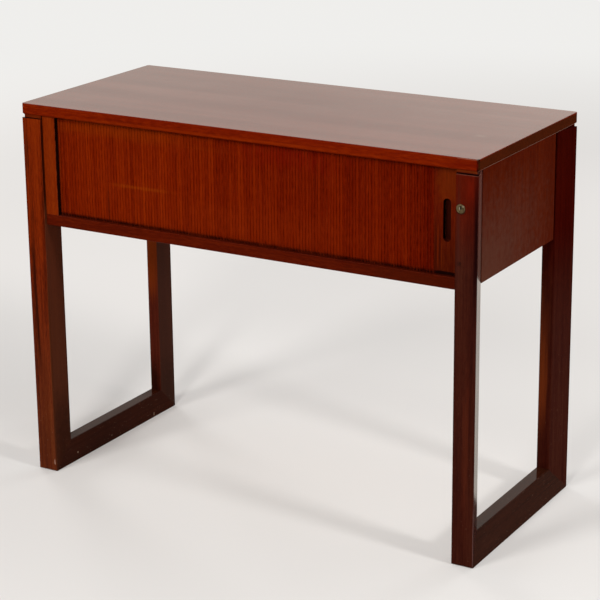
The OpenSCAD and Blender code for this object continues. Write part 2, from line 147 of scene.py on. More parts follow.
# light from all round, and what polish mirrors: each run is where one part of the studio
# turns into the next, as a direction from -1 to 1 along one axis
surroundings = {
    "ambient": (0.55, 0.44),            # near the horizon, and straight above
    "ambientRun": (0.1, 0.8),
    "openShare": 0.35,                  # share of it that comes from the open side
    "openRun": (-0.5, 0.15),
    "mirrorTint": (1.0, 0.945, 0.850),
    "mirrorBright": 0.90,               # what polish mirrors behind and above the table
    "mirrorDark": 0.02,                 # what it mirrors low on the open side
    "mirrorFront": 0.40,                # what it mirrors higher up there, as a share of the brightest
    "frontRun": (0.04, 0.28),
    "aboveRun": (0.45, 0.8),
    "behindRun": (0.0, 0.4),
    "middleGain": 1.30,                 # the back wall's middle beside its left-hand end
    "middleRun": (-0.50, -0.34),
    "rightShare": 0.16,                 # its right-hand end beside the rest
    "rightRun": (0.10, 0.36),
}


def buildWorld():
    look = surroundings
    world = bpy.data.worlds.new("studio")
    world.use_nodes = True
    world.cycles.sampling_method = "NONE"      # light this even needs no map of its bright parts
    bpy.context.scene.world = world
    tree = world.node_tree
    tree.nodes.clear()
    axes = axesOf(tree, addNode(tree, "ShaderNodeTexCoord").outputs["Generated"])

    behind = calculate(tree, "MULTIPLY", remap(tree, axes["Y"], *look["behindRun"], smooth=True),
                       remap(tree, axes["X"], *look["rightRun"], 1.0, look["rightShare"], smooth=True))
    behind = calculate(tree, "MULTIPLY", behind,
                       remap(tree, axes["X"], *look["middleRun"], 1.0, look["middleGain"]))
    above = calculate(tree, "MAXIMUM", remap(tree, axes["Z"], *look["aboveRun"], smooth=True),
                      remap(tree, axes["Z"], *look["frontRun"], 0.0, look["mirrorFront"], smooth=True))
    bright = calculate(tree, "MAXIMUM", behind, above)
    mirrored = calculate(tree, "MAXIMUM", calculate(tree, "MULTIPLY", bright, look["mirrorBright"]),
                         look["mirrorDark"])

    height = calculate(tree, "ABSOLUTE", axes["Z"])
    ambient = calculate(tree, "MULTIPLY",
                        remap(tree, height, *look["ambientRun"], *look["ambient"], smooth=True),
                        remap(tree, axes["Y"], *look["openRun"], look["openShare"], 1.0, smooth=True))

    shown, seen, soft = (addNode(tree, "ShaderNodeBackground") for _ in range(3))
    plug(tree, backdropTone, shown.inputs["Color"])
    plug(tree, look["mirrorTint"], seen.inputs["Color"])
    plug(tree, mirrored, seen.inputs["Strength"])
    plug(tree, ambient, soft.inputs["Strength"])
    path = addNode(tree, "ShaderNodeLightPath")
    glossy = calculate(tree, "MAXIMUM", path.outputs["Is Glossy Ray"],
                       path.outputs["Is Transmission Ray"])
    unseen = mixShaders(tree, glossy, soft.outputs[0], seen.outputs[0])
    whole = mixShaders(tree, path.outputs["Is Camera Ray"], unseen, shown.outputs[0])
    plug(tree, whole, addNode(tree, "ShaderNodeOutputWorld").inputs[0])


lamps = {
    "key": {"place": (-1.2, -3.9, 3.6), "size": 1.4, "power": 102.0, "tint": (1.0, 0.985, 0.96)},
    "front": {"place": (0.9, -4.1, 2.6), "size": 0.7, "power": 88.0, "tint": (1.0, 0.985, 0.96)},
    "rightSide": {"place": (3.08, -0.54, 1.84), "size": 0.5, "power": 43.0, "tint": (1.0, 0.99, 0.975)},
    "left": {"place": (-5.4, 3.4, 2.4), "size": 2.4, "power": 120.0, "tint": (1.0, 1.0, 1.0)},
    "rightBack": {"place": (0.9, 2.8, 3.0), "size": 1.6, "power": 22.0, "tint": (1.0, 1.0, 1.0)},
}
lampTarget = (0, 0, 0.4)        # what each lamp points at


def buildLamps():
    for name, lamp in lamps.items():
        data = bpy.data.lights.new(name, "AREA")
        data.shape = "DISK"
        data.size = lamp["size"]
        data.energy = lamp["power"]
        data.color = lamp["tint"]
        light = bpy.data.objects.new(name, data)
        bpy.context.scene.collection.objects.link(light)
        light.location = lamp["place"]
        aim = Vector(lampTarget) - light.location
        light.rotation_euler = aim.to_track_quat("-Z", "Y").to_euler()
        light.visible_glossy = False


floorLook = {
    "size": 60.0,
    # the lighter tone behind the table is painted light
    "tones": ((0.775, 0.757, 0.742), (0.93, 0.905, 0.885)),     # paper before and behind the table
    "toneRun": (0.1, 1.0),              # metres, front to back
    "glow": (0.860, 0.830, 0.800),
    "glowShare": (0.30, 0.75),          # how much of the shade gives way to the glow, left and right
    "glowRun": (-0.7, 0.5),             # metres, left to right
    "glowInFront": 0.25,                # share of that in front of the table
    "glowDepthRun": (0.0, 0.8),         # metres, front to back
    "fadeRun": (1.6, 4.5),              # metres from the table where the floor turns into backdrop
}


def buildFloor():
    look = floorLook
    mesh = bpy.data.meshes.new("studioFloor")
    half = look["size"] / 2
    corners = [(-half, -half, 0), (half, -half, 0), (half, half, 0), (-half, half, 0)]
    mesh.from_pydata(corners, [], [(0, 1, 2, 3)])
    floor = bpy.data.objects.new("studioFloor", mesh)
    bpy.context.scene.collection.objects.link(floor)
    material = bpy.data.materials.new("paperFloor")
    material.use_nodes = True
    tree = material.node_tree
    tree.nodes.clear()
    place = addNode(tree, "ShaderNodeTexCoord").outputs["Object"]
    axes = axesOf(tree, place)
    far = remap(tree, calculateVector(tree, "LENGTH", place), *look["fadeRun"], smooth=True)
    sideways = remap(tree, axes["X"], *look["glowRun"], *look["glowShare"], smooth=True)
    inward = remap(tree, axes["Y"], *look["glowDepthRun"], look["glowInFront"], 1.0, smooth=True)
    lift = calculate(tree, "MULTIPLY", sideways, inward)
    seen = addNode(tree, "ShaderNodeLightPath").outputs["Is Camera Ray"]
    share = calculate(tree, "MULTIPLY", calculate(tree, "MAXIMUM", far, lift), seen)
    paper = addNode(tree, "ShaderNodeBsdfDiffuse")
    # painted light: the paper turns to its lighter tone behind the table
    back = remap(tree, axes["Y"], *look["toneRun"], smooth=True)
    plug(tree, mixColours(tree, back, *look["tones"]), paper.inputs["Color"])
    sweep = addNode(tree, "ShaderNodeEmission")
    plug(tree, mixColours(tree, far, look["glow"], backdropTone), sweep.inputs["Color"])
    whole = mixShaders(tree, share, paper.outputs[0], sweep.outputs[0])
    plug(tree, whole, addNode(tree, "ShaderNodeOutputMaterial").inputs[0])
    mesh.materials.append(material)
    floor.visible_glossy = False


buildCamera()
buildWorld()
buildLamps()
buildFloor()
bpy.context.scene.view_settings.view_transform = "Standard"
print("studio ready")


# effects that several materials share are node groups
def newGroup(name, inputs, outputs):
    group = bpy.data.node_groups.new(name, "ShaderNodeTree")
    for kind, label, value in inputs:
        socket = group.interface.new_socket(label, in_out="INPUT", socket_type="NodeSocket" + kind)
        if value is not None:
            socket.default_value = value
    for label in outputs:
        kind = "NodeSocketColor" if label == "Colour" else "NodeSocketFloat"
        group.interface.new_socket(label, in_out="OUTPUT", socket_type=kind)
    return group, group.nodes.new("NodeGroupInput").outputs, group.nodes.new("NodeGroupOutput").inputs


def placeGroup(tree, group, values):
    node = addNode(tree, "ShaderNodeGroup", node_tree=group)
    for label, value in values.items():
        plug(tree, value, node.inputs[label])
    return node.outputs


def patternAt(tree, vector, pattern):
    # a noise pattern: how often it repeats along each axis, its detail and its roughness, and the
    # two levels between which it goes from 0 to 1, where it has them
    stretch, detail, roughness, *levels = pattern
    mapping = addNode(tree, "ShaderNodeMapping")
    plug(tree, stretch, mapping.inputs["Scale"])
    plug(tree, vector, mapping.inputs["Vector"])
    noise = addNode(tree, "ShaderNodeTexNoise")
    for label, value in (("Scale", 1.0), ("Detail", detail), ("Roughness", roughness),
                         ("Vector", mapping.outputs[0])):
        plug(tree, value, noise.inputs[label])
    fac = noise.outputs["Fac"]
    return remap(tree, fac, *levels) if levels else fac


# repeats a metre across and along the grain
grainPatterns = {
    "drift": ((5.0, 5.0, 2.2), 2.0, 0.5),
    "streaks": ((210.0, 210.0, 2.6), 4.0, 0.62),
    "fibres": ((1300.0, 1300.0, 26.0), 2.0, 0.6),
    "figure": ((24.0, 24.0, 1.1), 3.0, 0.55, 0.33, 0.67),
    "flecks": ((520.0, 520.0, 75.0), 2.0, 0.55, 0.36, 0.64),
    "pores": ((1900.0, 1900.0, 130.0), 1.0, 0.5, 0.60, 0.70),
    "fibreShare": 0.30,         # of the streaks
    "streakLevels": (0.34, 0.66),
    "poreDepth": 0.6,
}


def buildWoodFigure():
    # the vector's Z runs along the grain, in metres
    look = grainPatterns
    group, given, result = newGroup(
        "woodFigure",
        [("Vector", "Vector", None), ("Float", "Waviness", 0.004)],
        ["Streaks", "Figure", "Fleck", "Pores", "Height"],
    )
    drift = calculate(group, "SUBTRACT", patternAt(group, given["Vector"], look["drift"]), 0.5)
    push = calculate(group, "MULTIPLY", drift, given["Waviness"])
    offset = addNode(group, "ShaderNodeCombineXYZ")
    plug(group, push, offset.inputs["X"])
    plug(group, push, offset.inputs["Y"])
    wavy = calculateVector(group, "ADD", given["Vector"], offset.outputs[0])
    names = ("streaks", "fibres", "figure", "flecks", "pores")
    streaks, fibres, figure, flecks, pores = (patternAt(group, wavy, look[name]) for name in names)
    both = calculate(group, "ADD", calculate(group, "MULTIPLY", fibres, look["fibreShare"]),
                     calculate(group, "MULTIPLY", streaks, 1.0 - look["fibreShare"]))
    plug(group, remap(group, both, *look["streakLevels"]), result["Streaks"])
    plug(group, figure, result["Figure"])
    plug(group, flecks, result["Fleck"])
    plug(group, pores, result["Pores"])
    sunk = calculate(group, "MULTIPLY", pores, look["poreDepth"])
    plug(group, calculate(group, "SUBTRACT", fibres, sunk), result["Height"])
    return group


agePatterns = {
    "chips": ((90.0, 90.0, 90.0), 3.0, 0.6, 0.38, 0.72),
    "patches": ((1.0, 1.0, 1.0), 3.0, 0.55, 0.32, 0.70),    # repeats once a patch size
    "specks": ((420.0, 420.0, 420.0), 1.0, 0.5, 0.74, 0.80),
}


def buildAgeing():
    # worn edges, rubbed patches and small pale specks, as masks
    group, given, result = newGroup(
        "ageing",
        [("Vector", "Vector", None), ("Float", "Patch Size", 0.12)],
        ["Worn Edge", "Rubbed", "Specks"],
    )
    edge = addNode(group, "ShaderNodeAttribute", attribute_name="easedEdge")
    chips = patternAt(group, given["Vector"], agePatterns["chips"])
    plug(group, calculate(group, "MULTIPLY", edge.outputs["Fac"], chips), result["Worn Edge"])
    scaled = addNode(group, "ShaderNodeVectorMath", operation="SCALE")
    plug(group, given["Vector"], scaled.inputs[0])
    plug(group, calculate(group, "DIVIDE", 1.0, given["Patch Size"]), scaled.inputs["Scale"])
    plug(group, patternAt(group, scaled.outputs[0], agePatterns["patches"]), result["Rubbed"])
    plug(group, patternAt(group, given["Vector"], agePatterns["specks"]), result["Specks"])
    return group


rimPattern = ((1.0, 1.0, 1.0), 3.0, 0.6)    # repeats once a ragged size
squareness = 4.0                            # 2 makes a mark round, more makes its corners squarer


def buildMark():
    # a soft blot or band with rounded corners: 1 inside and 0 outside its half size, with a ragged rim
    group, given, result = newGroup(
        "mark",
        [("Vector", "Vector", None), ("Vector", "Centre", None),
         ("Vector", "Half Size", (0.1, 0.1, 0.1)), ("Float", "Ragged", 0.3),
         ("Float", "Softness", 0.4), ("Vector", "Ragged Size", (0.012, 0.012, 0.012))],
        ["Mask"],
    )
    away = calculateVector(group, "SUBTRACT", given["Vector"], given["Centre"])
    share = calculateVector(group, "DIVIDE", away, given["Half Size"])
    parts = [calculate(group, "POWER", calculate(group, "ABSOLUTE", part), squareness)
             for part in axesOf(group, share)]
    together = calculate(group, "ADD", calculate(group, "ADD", parts[0], parts[1]), parts[2])
    length = calculate(group, "POWER", together, 1 / squareness)
    scaled = calculateVector(group, "DIVIDE", given["Vector"], given["Ragged Size"])
    rim = calculate(group, "SUBTRACT", patternAt(group, scaled, rimPattern), 0.5)
    swing = calculate(group, "MULTIPLY", given["Ragged"], 2.0)
    reach = calculate(group, "ADD", length, calculate(group, "MULTIPLY", rim, swing))
    inner = calculate(group, "SUBTRACT", 1.0, given["Softness"])
    plug(group, remap(group, reach, inner, 1.0, 1.0, 0.0, smooth=True), result["Mask"])
    return group


toneLook = {
    "stops": (0.12, 0.5, 0.90),     # where the deep, middle and light tones are reached
    "poreShare": 0.35,
    "poreTone": 0.35,               # beside the deep tone
}


def buildGrainTone():
    # the wood's own colour: three tones laid along the grain's patterns, with darker pores
    group, given, result = newGroup(
        "grainTone",
        [("Float", "Streaks", 0.5), ("Float", "Figure", 0.5), ("Float", "Fleck", 0.5),
         ("Float", "Pores", 0.0), ("Vector", "Weights", (0.45, 0.40, 0.15)), ("Float", "Lift", 0.0),
         ("Color", "Deep", None), ("Color", "Middle", None), ("Color", "Light", None)],
        ["Colour"],
    )
    share = given["Lift"]
    for label, weight in zip(("Streaks", "Figure", "Fleck"), axesOf(group, given["Weights"])):
        share = calculate(group, "ADD", share, calculate(group, "MULTIPLY", given[label], weight))
    deep, middle, light = toneLook["stops"]
    tone = mixColours(group, remap(group, share, deep, middle), given["Deep"], given["Middle"])
    tone = mixColours(group, remap(group, share, middle, light), tone, given["Light"])
    dark = calculateVector(group, "MULTIPLY", given["Deep"], (toneLook["poreTone"],) * 3)
    shade = calculate(group, "MULTIPLY", given["Pores"], toneLook["poreShare"])
    plug(group, mixColours(group, shade, tone, dark), result["Colour"])
    return group


def buildHeightFade():
    # masks that rise from 0 at one height to 1 at another
    group, given, result = newGroup(
        "heightFade",
        [("Vector", "Vector", None), ("Float", "From", 0.5), ("Float", "To", 0.0)],
        ["Smooth", "Even"],
    )
    height = axesOf(group, given["Vector"])["Z"]
    for label in ("Smooth", "Even"):
        risen = remap(group, height, given["From"], given["To"], smooth=label == "Smooth")
        plug(group, risen, result[label])
    return group


woodFigure = buildWoodFigure()
ageing = buildAgeing()
mark = buildMark()
grainTone = buildGrainTone()
heightFade = buildHeightFade()
print("effects ready")


# which way the grain runs, as the turn that brings it to Z
grainTurns = {
    "X": (0.0, math.radians(-90), 0.0),
    "Y": (math.radians(90), 0.0, 0.0),
    "Z": (0.0, 0.0, 0.0),
}

# what a wood has where its own entry says nothing else
commonWood = {
    "weights": (0.45, 0.40, 0.15),      # how much the streaks, the figure and the flecks count
    "roughness": (0.38, 0.52),          # where it's rubbed least and most
    "lacquerRoughness": 0.11,
    "dulled": 0.86,                     # share of the lacquer left where it's rubbed most
    "bump": 0.12,
}

# tones: deep, middle and light. grain: the way it runs. shift: which part of the pattern is cut.
# lacquer: its weight seen face on and at a grazing angle. lacquerFade: two heights and the shares of
# the lacquer there. lacquerGrain: how much it dims with the figure. low: what the tones are
# multiplied by near the floor, from the first height of lowRun down to the second. This is painted
# light: painted shade, and on the legs also a painted bluish haze that stands for the floor's
# reflection.
# specks: chips near the floor. nicks: bare wood on the sharpest parts of the edges
woods = {
    "topWood": {
        "tones": ((0.086, 0.0044, 0.0003), (0.132, 0.0078, 0.0004), (0.182, 0.0150, 0.0006)),
        "grain": "X", "shift": (0.31, 0.12, 0.05), "weights": (0.34, 0.26, 0.40),
        "roughness": (0.32, 0.46), "lacquer": (0.60, 1.0), "lacquerRoughness": 0.14, "dulled": 0.96,
        "lacquerFade": (0.6990, 0.6998, 0.06, 1.0), "lacquerGrain": 0.05, "nicks": 0.9, "bump": 0.06},
    "leftLegWood": {
        "tones": ((0.030, 0.0030, 0.0006), (0.150, 0.0135, 0.0010), (0.235, 0.0300, 0.0020)),
        "grain": "Z", "shift": (0.02, 0.34, 0.71), "low": (0.72, 1.45, 6.0), "lowRun": (0.54, 0.05),
        "lacquer": (0.12, 0.5), "specks": 0.5},
    "rightLegWood": {
        "tones": ((0.036, 0.0019, 0.0006), (0.066, 0.0040, 0.0009), (0.096, 0.0076, 0.0016)),
        "grain": "Z", "shift": (0.27, 0.16, 0.93), "low": (0.56, 1.70, 4.0), "lowRun": (0.65, 0.50),
        "lacquer": (0.35, 0.55), "specks": 0.5},
    # the rear legs' tones are darker copies of the front legs' wood: painted shade under the cabinet
    "rearLegWood": {
        "tones": ((0.042, 0.0040, 0.0012), (0.080, 0.0090, 0.0022), (0.125, 0.0170, 0.0040)),
        "grain": "Z", "shift": (0.57, 0.36, 0.13), "low": (0.86, 1.15, 2.2), "lowRun": (0.50, 0.25),
        "lacquer": (0.25, 0.5), "lacquerFade": (0.50, 0.30, 0.1, 1.0), "specks": 0.5},
    "rightRearWood": {
        "tones": ((0.020, 0.0006, 0.0002), (0.034, 0.0015, 0.0004), (0.050, 0.0036, 0.0009)),
        "grain": "Z", "shift": (0.33, 0.67, 0.29), "low": (1.12, 4.00, 7.5), "lowRun": (0.52, 0.34),
        "lacquer": (0.25, 0.5), "lacquerFade": (0.50, 0.30, 0.1, 1.0), "specks": 0.5},
    "floorRailWood": {
        "tones": ((0.022, 0.0048, 0.0018), (0.032, 0.0074, 0.0031), (0.043, 0.0105, 0.0045)),
        "grain": "Y", "shift": (0.44, 0.61, 0.18), "lacquer": (0.35, 0.5), "specks": 0.7},
    # a darker copy of the right rail's wood: painted shade under the table
    "leftRailWood": {
        "tones": ((0.020, 0.0036, 0.0012), (0.028, 0.0052, 0.0018), (0.040, 0.0080, 0.0028)),
        "grain": "Y", "shift": (0.24, 0.31, 0.58), "lacquer": (0.24, 0.42), "specks": 0.7},
    "panelWood": {
        "tones": ((0.052, 0.0040, 0.0003), (0.072, 0.0062, 0.0006), (0.092, 0.0098, 0.0011)),
        "grain": "Z", "shift": (0.72, 0.05, 0.37), "weights": (0.55, 0.20, 0.25),
        "roughness": (0.40, 0.55), "lacquer": (0.0, 0.15), "lacquerRoughness": 0.18, "bump": 0.08},
    "railWood": {
        "tones": ((0.038, 0.0022, 0.0005), (0.066, 0.0046, 0.0007), (0.100, 0.0090, 0.0012)),
        "grain": "X", "shift": (0.13, 0.48, 0.66), "weights": (0.40, 0.35, 0.25),
        "lacquer": (0.20, 0.6)},
    "stileWood": {
        "tones": ((0.085, 0.0070, 0.0006), (0.145, 0.0135, 0.0008), (0.200, 0.0240, 0.0014)),
        "grain": "Z", "shift": (0.55, 0.29, 0.41), "weights": (0.30, 0.40, 0.30),
        "roughness": (0.40, 0.54), "lacquer": (0.20, 0.6)},
    "leadWood": {
        "tones": ((0.052, 0.0026, 0.0004), (0.085, 0.0058, 0.0006), (0.125, 0.0120, 0.0012)),
        "grain": "Z", "shift": (0.38, 0.77, 0.24), "low": (0.62, 0.75, 1.0), "lowRun": (0.62, 0.52),
        "weights": (0.45, 0.30, 0.25), "roughness": (0.40, 0.54), "lacquer": (0.20, 0.6)},
    "tambourWood": {
        "tones": ((0.086, 0.0040, 0.0002), (0.146, 0.0090, 0.0002), (0.206, 0.0180, 0.0004)),
        "grain": "Z", "shift": (0.0, 0.0, 0.0), "weights": (0.60, 0.15, 0.25),
        "roughness": (0.42, 0.56), "lacquer": (0.0, 0.3), "lacquerRoughness": 0.25, "bump": 0.10},
    "innerWood": {
        "tones": ((0.200, 0.0950, 0.0400), (0.360, 0.1900, 0.0850), (0.470, 0.2800, 0.1400)),
        "grain": "X", "shift": (0.81, 0.22, 0.09), "weights": (0.40, 0.35, 0.25),
        "roughness": (0.55, 0.70), "lacquer": (0.0, 0.1), "lacquerRoughness": 0.3, "bump": 0.10},
    "dowelWood": {
        "tones": ((0.420, 0.2700, 0.1400), (0.520, 0.3500, 0.2000), (0.600, 0.4300, 0.2600)),
        "grain": "Y", "shift": (0.15, 0.62, 0.48), "weights": (0.35, 0.25, 0.40),
        "roughness": (0.60, 0.72), "lacquer": (0.0, 0.0), "bump": 0.10},
}

woodFinish = {
    "specular": 0.0,                    # the lacquer alone gives the gloss
    "lacquerAngle": (0.50, 0.80),       # from face on to grazing
    "wornGain": 1.5, "wornLift": 0.006,     # worn edges beside the light tone
    "wornShare": 0.5,
    "nickTone": (0.620, 0.340, 0.180),
    "nickSharpness": 6.0,
    "speckTone": (0.360, 0.220, 0.150),
    "speckRun": (0.40, 0.05),           # heights between which the chips come in
    "bumpDepth": 0.4 * millimetre,
}

# how long the ragged rim of a mark runs along each axis, in metres
rimSizes = {"even": (0.012, 0.012, 0.012), "fine": (0.0022, 0.0022, 0.0022), "X": (0.080, 0.004, 0.004),
            "Y": (0.004, 0.080, 0.004), "Z": (0.004, 0.004, 0.080)}

# marks of use and of painted light and shade on each wood: centre, half size (metres), colour,
# strength, ragged, softness, and the rim where it isn't even
marks = {
    "topWood": [
        ((0.157, -0.05, 0.7), (0.011, 0.0022, 0.003), (0.03, 0.004, 0.001), 0.6, 0.4, 0.5),
        ((0.312, -0.069, 0.7), (0.005, 0.006, 0.003), (0.03, 0.004, 0.001), 0.6, 0.5, 0.5),
        ((0.381, -0.049, 0.7), (0.016, 0.007, 0.003), (0.42, 0.3, 0.24), 0.22, 0.9, 0.95),
        # painted shade on the rounded right front corner
        ((0.4505, -0.1985, 0.69), (0.0052, 0.0052, 0.03), (0.003, 0.001, 0.001), 0.97, 0.05, 0.3),
        ((0.4, -0.198, 0.694), (0.05, 0.004, 0.005), (0.24, 0.028, 0.001), 0.08, 0.7, 0.9, "X"),
        # painted highlight along the upper front edge near the right corner
        ((0.432, -0.1984, 0.699), (0.017, 0.001, 0.001), (0.6, 0.33, 0.2), 0.15, 1.6, 0.2, "fine"),
        ((0.0, -0.198, 0.6965), (0.46, 0.003, 0.0045), (0.115, 0.005, 0.0003), 0.45, 0.5, 0.7, "X"),
        ((0.0, -0.198, 0.684), (0.46, 0.003, 0.004), (0.185, 0.018, 0.0005), 0.35, 0.7, 0.8, "X"),
        # painted shade: the front band darker towards its right end
        ((0.43, -0.198, 0.691), (0.06, 0.003, 0.012), (0.09, 0.0035, 0.0003), 0.6, 0.5, 0.9, "X"),
        # painted shade on the right-hand side band
        ((0.4505, 0.0, 0.6895), (0.003, 0.25, 0.0108), (0.03, 0.008, 0.0018), 0.8, 0.1, 0.2, "Y"),
        # painted highlight along the side band's lower edge
        ((0.4505, 0.0, 0.6806), (0.003, 0.25, 0.0011), (0.22, 0.14, 0.11), 0.85, 0.3, 0.3, "Y"),
    ],
    "leftLegWood": [
        # painted shade on the leg's side face beside the stile
        ((-0.4095, -0.192, 0.59), (0.0012, 0.02, 0.104), (0.008, 0.002, 0.001), 0.85, 0.0, 0.3),
        # painted shade on the inner face and its eased front edge, deeper near the floor
        ((-0.4095, -0.174, 0.2), (0.0015, 0.06, 0.34), (0.056, 0.015, 0.0065), 0.85, 0.0, 0.1),
        ((-0.4095, -0.17, 0.04), (0.0015, 0.05, 0.16), (0.016, 0.0038, 0.0017), 0.85, 0.2, 0.9),
        ((-0.4105, -0.198, 0.2), (0.0022, 0.004, 0.21), (0.05, 0.012, 0.0042), 0.85, 0.0, 0.3),
        ((-0.43, -0.198, 0.05), (0.03, 0.004, 0.08), (0.055, 0.011, 0.004), 0.5, 0.4, 0.9),
        ((-0.438, -0.198, 0.35), (0.005, 0.004, 0.2), (0.026, 0.004, 0.0015), 0.9, 0.8, 0.8, "Z"),
        ((-0.4134, -0.198, 0.019), (0.0014, 0.003, 0.006), (0.42, 0.26, 0.19), 0.7, 0.9, 0.6, "fine"),
        ((-0.444, -0.198, 0.61), (0.004, 0.004, 0.06), (0.04, 0.006, 0.002), 0.6, 0.7, 0.9, "Z"),
        ((-0.4155, -0.198, 0.37), (0.002, 0.004, 0.08), (0.04, 0.006, 0.002), 0.55, 0.6, 0.9, "Z"),
        ((-0.428, -0.198, 0.16), (0.015, 0.004, 0.1), (0.06, 0.01, 0.003), 0.45, 0.8, 0.9, "Z"),
        # painted shade on the neck and a painted shadow line in the gap under the top
        ((-0.43, -0.195, 0.6778), (0.03, 0.006, 0.0025), (0.055, 0.006, 0.001), 0.6, 0.2, 0.3),
        ((-0.43, -0.195, 0.6742), (0.03, 0.006, 0.0011), (0.006, 0.001, 0.001), 0.9, 0.1, 0.3),
    ],
    "rightLegWood": [
        ((0.4177, -0.198, 0.5255), (0.0052, 0.004, 0.0056), (0.01, 0.003, 0.002), 0.9, 0.6, 0.6),
        # painted shade and dark reflection along the rounded front-right edge
        ((0.4475, -0.198, 0.56), (0.007, 0.006, 0.17), (0.008, 0.001, 0.001), 0.95, 0.1, 0.9),
        # painted highlight along the lower right edge
        ((0.4497, -0.198, 0.045), (0.0012, 0.005, 0.08), (0.11, 0.065, 0.06), 0.5, 0.2, 0.4),
        ((0.436, -0.198, 0.652), (0.011, 0.004, 0.032), (0.125, 0.006, 0.001), 0.5, 0.6, 0.9, "Z"),
        # painted reflection of the pale backdrop on the outer face
        ((0.444, -0.174, 0.58), (0.02, 0.0238, 0.23), (0.125, 0.062, 0.048), 0.6, 0.2, 0.8, "Z"),
        ((0.416, -0.198, 0.57), (0.005, 0.004, 0.11), (0.048, 0.01, 0.006), 0.6, 0.7, 0.9, "Z"),
        ((0.433, -0.198, 0.2), (0.008, 0.004, 0.19), (0.11, 0.018, 0.006), 0.25, 0.8, 0.9, "Z"),
        ((0.43, -0.195, 0.6778), (0.03, 0.006, 0.0022), (0.115, 0.017, 0.0015), 0.75, 0.3, 0.3),
        # painted shadow line in the gap under the top, then a painted highlight on the leg's top edge
        ((0.43, -0.195, 0.6742), (0.03, 0.006, 0.0011), (0.004, 0.001, 0.001), 0.95, 0.1, 0.3),
        ((0.43, -0.198, 0.6727), (0.03, 0.003, 0.0007), (0.13, 0.045, 0.03), 0.5, 0.9, 0.3, "fine"),
    ],
    "rightRearWood": [
        # painted light on the front face
        ((0.417, 0.15, 0.24), (0.013, 0.003, 0.15), (0.16, 0.028, 0.005), 0.65, 0.5, 0.9, "Z"),
    ],
    "rearLegWood": [
        # painted light on the front face
        ((-0.43, 0.15, 0.39), (0.03, 0.003, 0.175), (0.15, 0.022, 0.002), 0.75, 0.3, 0.5, "Z"),
        # painted shade low on the front face and on the inner face
        ((-0.43, 0.15, 0.05), (0.03, 0.003, 0.08), (0.01, 0.002, 0.001), 0.8, 0.3, 0.8),
        ((-0.4095, 0.179, 0.26), (0.0015, 0.06, 0.4), (0.048, 0.0175, 0.0105), 0.75, 0.0, 0.2),
        ((-0.4095, 0.179, 0.02), (0.0015, 0.06, 0.13), (0.018, 0.006, 0.003), 0.7, 0.2, 0.9),
    ],
    "leftRailWood": [
        ((-0.422, -0.01, 0.0485), (0.014, 0.15, 0.0022), (0.06, 0.036, 0.03), 0.55, 0.2, 0.3, "X"),
        ((-0.41, -0.1312, 0.0158), (0.002, 0.0018, 0.0022), (0.42, 0.27, 0.19), 0.6, 0.9, 0.6, "fine"),
        ((-0.41, 0.1219, 0.0068), (0.002, 0.0014, 0.0038), (0.42, 0.27, 0.19), 0.6, 0.9, 0.6, "fine"),
        ((-0.41, -0.0214, 0.0119), (0.002, 0.0024, 0.0012), (0.26, 0.16, 0.11), 0.6, 0.9, 0.6, "fine"),
    ],
    "tambourWood": [
        ((-0.205, -0.1825, 0.569), (0.085, 0.004, 0.0042), (0.23, 0.038, 0.002), 0.5, 0.4, 0.8),
        ((-0.278, -0.1825, 0.532), (0.004, 0.004, 0.04), (0.035, 0.003, 0.001), 0.6, 0.6, 0.8, "Z"),
        ((-0.255, -0.1825, 0.668), (0.24, 0.004, 0.022), (0.19, 0.026, 0.001), 0.4, 0.7, 0.9, "X"),
        ((0.09, -0.1825, 0.668), (0.13, 0.004, 0.04), (0.13, 0.003, 0.001), 0.45, 0.8, 0.9),
        ((0.02, -0.1825, 0.53), (0.33, 0.004, 0.05), (0.165, 0.014, 0.001), 0.3, 0.9, 0.9),
    ],
    "leadWood": [
        ((0.396, -0.1825, 0.665), (0.03, 0.004, 0.06), (0.12, 0.018, 0.001), 0.4, 0.9, 0.6),
        # painted shade inside the finger slot and on its left wall
        ((0.388, -0.1735, 0.59), (0.009, 0.007, 0.045), (0.012, 0.002, 0.001), 0.88, 0.0, 0.3),
        ((0.381, -0.177, 0.59), (0.0016, 0.0054, 0.04), (0.002, 0.001, 0.001), 0.97, 0.0, 0.2),
        ((0.3685, -0.1825, 0.548), (0.0014, 0.004, 0.052), (0.02, 0.0022, 0.0008), 0.6, 0.3, 0.7, "Z"),
        ((0.3755, -0.1825, 0.54), (0.0014, 0.004, 0.044), (0.02, 0.0022, 0.0008), 0.6, 0.3, 0.7, "Z"),
        ((0.3721, -0.1825, 0.542), (0.0016, 0.004, 0.046), (0.17, 0.018, 0.001), 0.4, 0.3, 0.7, "Z"),
        ((0.3788, -0.1825, 0.532), (0.0016, 0.004, 0.036), (0.15, 0.018, 0.001), 0.35, 0.3, 0.7, "Z"),
        # painted shadow line along the bottom
        ((0.386, -0.1825, 0.501), (0.026, 0.004, 0.0042), (0.004, 0.001, 0.001), 0.93, 0.2, 0.4),
    ],
    "railWood": [
        # painted shade on the ledge under the curtain
        ((0.045, -0.187, 0.5003), (0.385, 0.012, 0.0014), (0.004, 0.001, 0.001), 0.96, 0.1, 0.3),
        ((0.36, -0.192, 0.485), (0.2, 0.005, 0.03), (0.036, 0.004, 0.0008), 0.6, 0.6, 0.9),
        # painted highlight on the ledge's left end
        ((-0.362, -0.193, 0.5003), (0.034, 0.0055, 0.0014), (0.3, 0.25, 0.235), 0.75, 0.3, 0.7, "X"),
    ],
    "panelWood": [
        # painted reflection: a pale haze over the panel
        ((0.433, -0.2, 0.45), (0.006, 0.4, 0.24), (0.092, 0.036, 0.023), 0.78, 0.3, 0.95),
    ],
    "stileWood": [
        # painted shade on the side face beside the curtain
        ((-0.3826, -0.187, 0.59), (0.0012, 0.03, 0.5), (0.002, 0.001, 0.001), 0.97, 0.0, 0.3),
    ],
}


